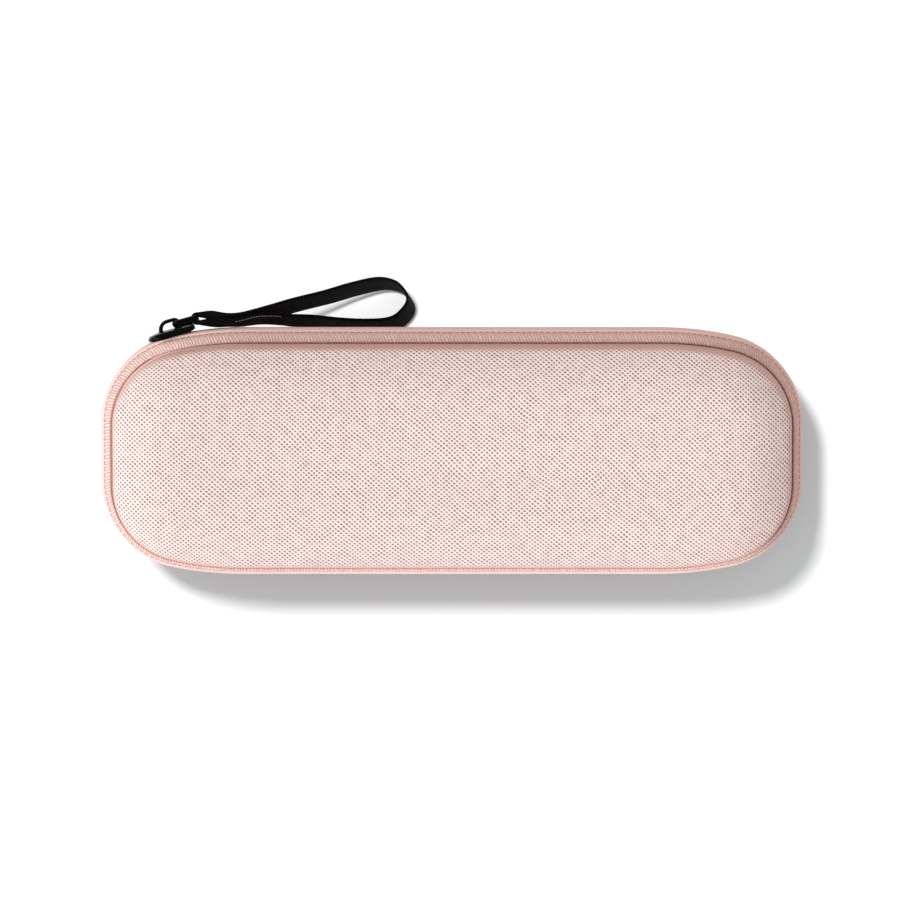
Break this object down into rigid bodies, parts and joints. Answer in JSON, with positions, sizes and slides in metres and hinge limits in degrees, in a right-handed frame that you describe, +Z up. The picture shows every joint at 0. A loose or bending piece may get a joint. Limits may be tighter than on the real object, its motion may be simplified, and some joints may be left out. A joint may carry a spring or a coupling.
{
  "type": "toothbrush travel case",
  "caption": "Zippered hard-shell travel case for an electric toothbrush, with a pillow-shaped lid, lined halves, elastic bands, a net pocket and a wrist strap.",
  "frame": {"origin": "on the flat bottom of the base, under the centre of the zip loop", "axes": "+X along the case to the right, away from the parked slider; +Y across the case, away from the cloth hinge, to the side with the wrist strap; +Z up through the lid"},
  "size_m": [0.23, 0.0963, 0.05],
  "materials": {
    "woven_cloth": "matte woven polyester, pinkish beige",
    "moulded_foam": "pressed closed-cell foam",
    "lining_cloth": "brushed tricot, grey",
    "binding_tape": "folded binding tape",
    "zip_tape": "woven zip tape, ribbed",
    "zip_coil": "wound nylon",
    "elastic": "ribbed elastic, black",
    "net": "knitted net",
    "black_metal": "satin black",
    "webbing": "ribbed black webbing"
  },
  "bodies": {
    "base": {"base_cover": "woven_cloth", "base_shell": "moulded_foam", "base_lining": "lining_cloth", "base_binding": "binding_tape", "lower_tape": "zip_tape", "lower_coil": "zip_coil", "end_stops": "zip_coil", "hinge_strip": "zip_tape", "handle_band": "elastic", "neck_band": "elastic"},
    "lid": {"lid_cover": "woven_cloth", "lid_shell": "moulded_foam", "lid_lining": "lining_cloth", "lid_binding": "binding_tape", "upper_tape": "zip_tape", "upper_coil": "zip_coil", "pocket_net": "net", "pocket_elastic": "elastic"},
    "slider": {"slider_body": "black_metal", "slider_bridge": "black_metal"},
    "ring": {"pull_ring": "black_metal"},
    "strap": {"wrist_strap": "webbing"}
  },
  "joints": [
    {"name": "lid_hinge", "type": "hinge", "parent": "base", "child": "lid", "pos_m": [0, -0.0408, 0.025], "axis": [1, 0, 0], "range_deg": [0, 180], "deforming": ["hinge_strip"]},
    {"name": "slider_travel", "type": "hinge", "parent": "base", "child": "slider", "pos_m": [-0.086, 0.0095, 0.025], "axis": [0, 0, 1], "range_deg": [0, 69]},
    {"name": "ring_swing", "type": "hinge", "parent": "slider", "child": "ring", "pos_m": [-0.09101, 0.04142, 0.025], "axis": [0, 0, 1], "range_deg": [0, 45]},
    {"name": "strap_swing", "type": "hinge", "parent": "ring", "child": "strap", "pos_m": [-0.08369, 0.04345, 0.025], "axis": [0, 0, 1], "range_deg": [0, 25]}
  ]
}
